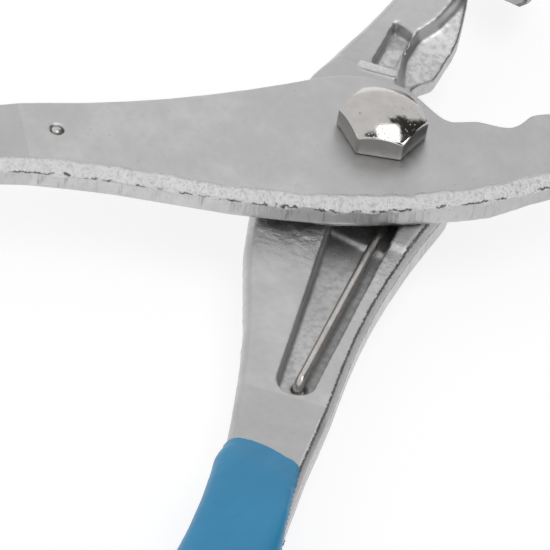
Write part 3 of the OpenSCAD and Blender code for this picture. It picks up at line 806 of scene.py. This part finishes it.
def coat_faces(mesh, keep):
    """Faces of a closed sleeve: the kept faces, the same turned inwards, and the rim between them."""
    number = np.cumsum(keep) - 1
    count = int(keep.sum())
    faces = [tuple(p.vertices) for p in mesh.polygons if all(keep[i] for i in p.vertices)]
    sleeve = [tuple(int(number[i]) for i in face) for face in faces]
    once = {}
    for face in sleeve:
        for a, b in zip(face, face[1:] + face[:1]):
            once[(a, b)] = once.get((b, a), 0) == 0
            if (b, a) in once:
                del once[(b, a)], once[(a, b)]
    rim = [(b, a, a + count, b + count) for a, b in once]
    inside = [tuple(i + count for i in reversed(face)) for face in sleeve]
    return sleeve + inside + rim


def coat(mesh, upper):
    """A dipped sleeve over the handle: the arm's skin swollen by the coat, with a thin inner wall."""
    co, edges = coordinates(mesh), edge_list(mesh)
    soft = relaxed(normals(mesh), edges, 6)
    soft /= np.maximum(np.linalg.norm(soft, axis=1), TINY)[:, None]
    past = relaxed_column(dip_edge(co, soft, upper) - co[:, 1], edges, 8)
    swell = GRIP_T + COAT_UNDER - COAT_LIP
    thick = -COAT_UNDER + COAT_LIP * ease(-COAT_UNDER, COAT_UNDER, past) + swell * ease(*COAT_RUN, past)
    sag = COAT_SAG * fractal(co, COAT_SAG_SIZE, 41 + upper, 2)
    outer = co + soft * (np.clip(thick, -COAT_UNDER, GRIP_T - COAT_SPARE) + sag * (past > 1))[:, None]
    rounded = relaxed(outer, edges, 14)
    outer = outer + (rounded - outer) * ease(0.2, 2.0, past)[:, None]
    inner = co - soft * COAT_INNER
    keep = past > -COAT_BEFORE
    out = bpy.data.meshes.new("sleeve")
    out.from_pydata(np.concatenate([outer[keep], inner[keep]]).tolist(), [], coat_faces(mesh, keep))
    out.validate()
    add_attribute(out, "place", np.concatenate([co[keep], co[keep]]), "FLOAT_VECTOR")
    return out


# Bolt

def head_outline(count):
    """A hexagon with rounded corners, as evenly spaced points round it."""
    points = []
    for k in range(6):
        a = HEAD_TURN + k * math.pi / 3
        centre = Vector((math.cos(a), math.sin(a))) * (HEAD_CORNER - HEAD_ROUND / math.cos(math.pi / 6))
        for turn in range(-30, 31, 10):
            b = a + math.radians(turn)
            points.append(centre + HEAD_ROUND * Vector((math.cos(b), math.sin(b))))
    closed = points + points[:1]
    spans = [(closed[i + 1] - closed[i]).length for i in range(len(points))]
    total, out, i, passed = sum(spans), [], 0, 0.0
    for k in range(count):
        want = total * k / count
        while passed + spans[i] < want:
            passed += spans[i]
            i += 1
        out.append(closed[i].lerp(closed[i + 1], (want - passed) / spans[i]))
    return out


def rings_mesh(name, rings):
    """A closed skin in metres through rings of as many points each, given in millimetres."""
    count = len(rings[0])
    points = [tuple(c * MM for c in p) for ring in rings for p in ring]
    faces = []
    for r in range(len(rings) - 1):
        for k in range(count):
            a, b = r * count + k, r * count + (k + 1) % count
            faces.append((a, b, b + count, a + count))
    faces.append(tuple(reversed(range(count))))
    faces.append(tuple(range((len(rings) - 1) * count, len(rings) * count)))
    mesh = bpy.data.meshes.new(name)
    mesh.from_pydata(points, [], faces)
    mesh.update()
    return mesh


def dome_z(radius):
    return HEAD_Z + CROWN - DOME_R + math.sqrt(DOME_R ** 2 - radius ** 2)


def crown_ring(outline, share):
    """A ring of the dome, round at the crown and like the outline at the edge."""
    blend = share ** 3
    ring = []
    for p in outline:
        q = p * share * blend + p.normalized() * (HEAD_AF / 2) * share * (1 - blend)
        ring.append((q.x, q.y, dome_z(q.length)))
    return ring


def edge_ring(outline, angle):
    """A ring of the small round between the dome and the flanks."""
    inward, drop = HEAD_EDGE * (1 - math.sin(angle)), HEAD_EDGE * 0.7 * (1 - math.cos(angle))
    ring = []
    for p in outline:
        q = p * (1 - inward / p.length)
        ring.append((q.x, q.y, dome_z(p.length - HEAD_EDGE) - drop))
    return ring


def make_bolt():
    """A hexagon head under a dome, and a plain shank with a bevelled end."""
    outline = head_outline(144)
    crown_rings, edge_rings, crown_share = 20, 4, 0.03
    shares = [crown_share] + [k / crown_rings for k in range(1, crown_rings)]
    rings = [crown_ring(outline, share) for share in shares]
    rings += [edge_ring(outline, math.pi / 2 * k / edge_rings) for k in range(edge_rings + 1)]
    flank, under, under_share = 2.0, 0.25, 0.975
    for share, height in ((1, flank), (1, under), (under_share, 0.0)):
        rings.append([(p.x * share, p.y * share, HEAD_Z + height) for p in outline])
    fillet, shank_bevel = 0.2, 0.8
    for radius, z in ((SHANK_R + fillet, HEAD_Z), (SHANK_R, HEAD_Z - fillet), (SHANK_R, shank_bevel),
                      (SHANK_R - shank_bevel, 0.0)):
        rings.append([(q.x * radius, q.y * radius, z) for q in (p.normalized() for p in outline)])
    mesh = rings_mesh("bolt", rings)
    mesh.flip_normals()
    obj = new_object("pivot_bolt_turned", mesh, polished_steel(), smooth_angle=40)
    stand_for(obj, "pivot_bolt", "lower")


# Spring

def spring_half(nudge):
    """Points of a leg from its hook to the coil, in the lower arm's place in the scene."""
    leave, way, _ = spring_leg()
    leg_len = (HOOK - leave).length
    straight = leg_len - HOOK_BEND_R
    leg_steps, hook_steps = 24, 12

    def leg_z(along):
        return -COIL_RISE / 2 - LEG_DROP * along / leg_len

    points = []
    for k in range(leg_steps + 1):
        along = straight * k / leg_steps
        points.append((*(leave + way * along), leg_z(along)))
    for k in range(1, hook_steps + 1):
        a = math.pi / 2 * k / hook_steps
        p = leave + way * (straight + HOOK_BEND_R * math.sin(a)) + nudge * (k / hook_steps)
        points.append((p.x, p.y, leg_z(straight) - HOOK_BEND_R * (1 - math.cos(a))))
    points.append((HOOK.x + nudge.x, HOOK.y + nudge.y, HOOK_END_Z))
    return [Matrix.Rotation(OPEN_ANGLE, 3, "Z") @ Vector(p) for p in reversed(points)]


def spring_path():
    """Middle line of the wire from hook to hook, in millimetres from the lap."""
    lower = spring_half(HOOK_NUDGE)
    upper = [Vector((-p.x, p.y, -p.z)) for p in reversed(spring_half(-HOOK_NUDGE))]
    first = spring_leg()[2] + math.pi / 2 + OPEN_ANGLE
    sweep = 3 * math.pi - 2 * first
    steps = 130
    coil = []
    for k in range(1, steps):
        a = first + sweep * k / steps
        coil.append(Vector((COIL_R * math.cos(a), COIL_R * math.sin(a), COIL_RISE * (k / steps - 0.5))))
    return lower + coil + upper


def wire_rings(path, sides=16):
    """Rings of the wire round its middle line, each end with a small round."""
    last = len(path) - 1
    ways = [(path[min(i + 1, last)] - path[max(i - 1, 0)]).normalized() for i in range(len(path))]
    across = Vector((1, 0, 0))
    rings = []
    for p, way in zip(path, ways):
        across = (across - way * across.dot(way)).normalized()
        other = way.cross(across)
        turns = [2 * math.pi * k / sides for k in range(sides)]
        rings.append([p + WIRE_R * (across * math.cos(a) + other * math.sin(a)) for a in turns])
    end_round, end_share = 0.18, 0.82
    caps = []
    for end, inward in ((0, ways[0]), (-1, -ways[-1])):
        caps.append([path[end] + (q - path[end]) * end_share for q in rings[end]])
        rings[end] = [q + inward * end_round for q in rings[end]]
    return [caps[0], *rings, caps[1]]


def make_spring():
    """One wire: a leg in each arm's channel and the coil between them."""
    rings = [[q + Vector((0, 0, LAP_Z)) for q in ring] for ring in wire_rings(spring_path())]
    mesh = rings_mesh("spring", rings)
    obj = new_object("torsion_spring_wire", mesh, spring_wire(), smooth_angle=50)
    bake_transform(obj)
    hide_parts("torsion_spring")


# Small parts. The widths are those of their eased edges

TIP_EASE = 0.25
TIP_WASHER_EASE = 0.12
TIP_CLIP_EASE = 0.1
PIVOT_WASHER_EASE = 0.15
NUT_EASE = 0.2
INSERT_EASE = 0.12


def eased_copy(node, body, material, width, arm=None):
    """The CAD solid with its sharp edges broken, as its own piece."""
    mesh = node_mesh(node)
    weld, flat, sharp_from = 0.002 * MM, math.radians(1), math.radians(32)
    bm = bmesh.new()
    bm.from_mesh(mesh)
    bmesh.ops.remove_doubles(bm, verts=bm.verts, dist=weld)
    bmesh.ops.dissolve_limit(bm, angle_limit=flat, verts=bm.verts, edges=bm.edges)
    sharp = [e for e in bm.edges if e.is_manifold and e.calc_face_angle() > sharp_from]
    bmesh.ops.bevel(bm, geom=sharp, offset=width * MM, segments=2, affect="EDGES", clamp_overlap=True)
    bmesh.ops.triangulate(bm, faces=[f for f in bm.faces if len(f.verts) > 4])
    bm.to_mesh(mesh)
    bm.free()
    if arm is not None:
        add_attribute(mesh, "place", to_arm(coordinates(mesh), arm), "FLOAT_VECTOR")
    stand_for(new_object(node + "_eased", mesh, material, smooth_angle=28), node, body)


# Stage

# Light on the object, next to the white that is seen, and how dark the cards are
AMBIENT = 0.95
CARD_DARK = 0.95
# The ceiling, one unit above the object: the way that along runs on it, and places as spans along and
# across it, of the softbox and of the dark cards that the bolt mirrors. The softbox is cut round where
# the square of the distance from its middle goes through SOFTBOX_ROUND
CEILING_WAY = (0.453, 0.891)
HORIZON = 0.05
SOFTBOX = ((-0.13, 0.5), (-0.12, 0.6))
SOFTBOX_MIDDLE = (0.18, 0.27)
SOFTBOX_ROUND = (0.18, 0.22)
SOFTBOX_STRENGTH = 2.0
CEILING_CARDS = (((0.52, 2.2), (-0.5, 0.8)), ((0.28, 0.56), (-0.36, -0.15)), ((-0.5, -0.18), (0.0, 0.5)))
# Round dark cards: azimuth, height, and the angles within which they are full and past which they end
ROUND_CARDS = ((58, 26, 25, 31), (76, 14, 15, 18))
FLOOR_HALF = 4.0
FLOOR_SHADED = 0.3
FLOOR_GLOW = 0.775
FLOOR_MATTE = 0.85


class Studio(Nodes):
    """A world of white light, with places in it told by their direction."""

    def __init__(self, tree):
        super().__init__(tree)
        self.direction = self.node("ShaderNodeTexCoord").outputs["Generated"]
        x, y, z = self.split(self.direction)
        above = self.most(z, HORIZON)
        x, y = self.math("DIVIDE", x, above), self.math("DIVIDE", y, above)
        c, s = CEILING_WAY
        self.along = self.plus(self.times(x, c), self.times(y, s))
        self.across = self.minus(self.times(x, s), self.times(y, c))

    def round_card(self, azimuth, height, full, end):
        a, h = math.radians(azimuth), math.radians(height)
        way = (math.cos(a) * math.cos(h), math.sin(a) * math.cos(h), math.sin(h))
        dot = self.node("ShaderNodeVectorMath", _0=self.direction, _1=way)
        dot.operation = "DOT_PRODUCT"
        ends = [math.cos(math.radians(angle)) for angle in (end, full)]
        return self.ramp(dot.outputs["Value"], *ends)

    def between(self, value, low, high, soft=0.02):
        ramps = [self.ramp(value, at - soft, at + soft, kind="LINEAR") for at in (low, high)]
        return self.minus(*ramps)

    def panel(self, along_ends, across_ends):
        return self.times(self.between(self.along, *along_ends), self.between(self.across, *across_ends))

    def softbox(self):
        """A panel whose far corners are cut round."""
        squares = [self.math("POWER", self.math("ABSOLUTE", self.minus(value, middle)), 2.0)
                   for value, middle in zip((self.along, self.across), SOFTBOX_MIDDLE)]
        outside = self.ramp(self.plus(*squares), *SOFTBOX_ROUND, kind="LINEAR")
        return self.times(self.panel(*SOFTBOX), self.minus(1.0, outside))


def make_world():
    """White studio with a softbox overhead and dark cards; the camera sees plain white."""
    world = bpy.data.worlds.new("studio")
    bpy.context.scene.world = world
    world.use_nodes = True
    world.node_tree.nodes.clear()
    s = Studio(world.node_tree)
    level = s.plus(AMBIENT, s.times(s.seen(), 1 - AMBIENT))
    cards = [s.round_card(*place) for place in ROUND_CARDS] + [s.panel(*ends) for ends in CEILING_CARDS]
    dark = cards.pop()
    for card in cards:
        dark = s.most(dark, card)
    lit = s.times(level, s.minus(1.0, s.times(dark, CARD_DARK)))
    studio = s.plus(lit, s.times(s.softbox(), SOFTBOX_STRENGTH))
    camera = s.node("ShaderNodeLightPath").outputs["Is Camera Ray"]
    strength = s.plus(s.times(studio, s.minus(1.0, camera)), camera)
    background = s.node("ShaderNodeBackground", _1=strength)
    s.node("ShaderNodeOutputWorld", _0=background.outputs[0])


def make_floor():
    """A floor that is matte to the light, and white with the object's shadow where it is seen."""
    material = bpy.data.materials.new("floor")
    material.use_nodes = True
    material.node_tree.nodes.clear()
    n = Nodes(material.node_tree)
    shaded = n.node("ShaderNodeBsdfDiffuse", Color=grey(FLOOR_SHADED))
    glow = n.node("ShaderNodeEmission", Strength=FLOOR_GLOW)
    white = n.node("ShaderNodeAddShader", _0=shaded.outputs[0], _1=glow.outputs[0])
    matte = n.node("ShaderNodeBsdfDiffuse", Color=grey(FLOOR_MATTE))
    shown = n.node("ShaderNodeMixShader", _0=n.seen(), _1=matte.outputs[0], _2=white.outputs[0])
    n.node("ShaderNodeOutputMaterial", _0=shown.outputs[0])
    corners = [(x * FLOOR_HALF, y * FLOOR_HALF, 0) for x, y in ((-1, -1), (1, -1), (1, 1), (-1, 1))]
    mesh = bpy.data.meshes.new("floor")
    mesh.from_pydata(corners, [], [(0, 1, 2, 3)])
    mesh.materials.append(material)
    place_object("floor", mesh)


# The photograph's camera: its lens, its place in millimetres and its axes
LENS = 558.45
SENSOR = 36.0
CAMERA_PLACE = Vector((724.18, -855.19, 1018.36))
CAMERA_RIGHT = Vector((0.66420, 0.73613, 0.13017))
CAMERA_UP = Vector((-0.57195, 0.38830, 0.72256))
CAMERA_AHEAD = Vector((-0.48136, 0.55438, -0.67894))


def make_camera():
    """A long lens from the front right, above."""
    data = bpy.data.cameras.new("camera")
    data.sensor_width = SENSOR
    data.lens = LENS
    data.clip_end = 20.0
    turn = Matrix((CAMERA_RIGHT, CAMERA_UP, -CAMERA_AHEAD)).transposed().to_4x4()
    obj = place_object("camera", data)
    obj.matrix_world = Matrix.Translation(CAMERA_PLACE * MM) @ turn
    bpy.context.scene.camera = obj


# Scene

def make_pieces():
    """The arms with their grips, tips, washers and clips, and what joins them at the pivot."""
    steel, vinyl, tip_steel, plate = worn_steel(), dipped_vinyl(), machined_steel(), plated_steel()
    for side, is_upper, seed in (("lower", False, 100), ("upper", True, 150)):
        skin = arm_skin(side + "_arm", is_upper)
        sleeve = coat(skin, is_upper)
        set_coordinates(sleeve, to_scene(coordinates(sleeve), is_upper))
        stand_for(new_object(side + "_grip_dip", sleeve, vinyl), side + "_grip", side)
        work_arm(skin, seed)
        set_coordinates(skin, to_scene(coordinates(skin), is_upper))
        stand_for(new_object(side + "_arm_forged", skin, steel), side + "_arm", side)
        eased_copy(side + "_tip", side + "_tip", tip_steel, TIP_EASE, is_upper)
        eased_copy(side + "_tip_washer", side, plate, TIP_WASHER_EASE)
        eased_copy(side + "_tip_clip", side, plate, TIP_CLIP_EASE)
    make_bolt()
    make_spring()
    eased_copy("pivot_washer", "lower", plate, PIVOT_WASHER_EASE)
    eased_copy("pivot_nut", "lower", plate, NUT_EASE)
    eased_copy("nut_insert", "lower", nylon(), INSERT_EASE)


bpy.context.scene.view_settings.view_transform = "Standard"
make_camera()
make_world()
make_floor()
make_pieces()
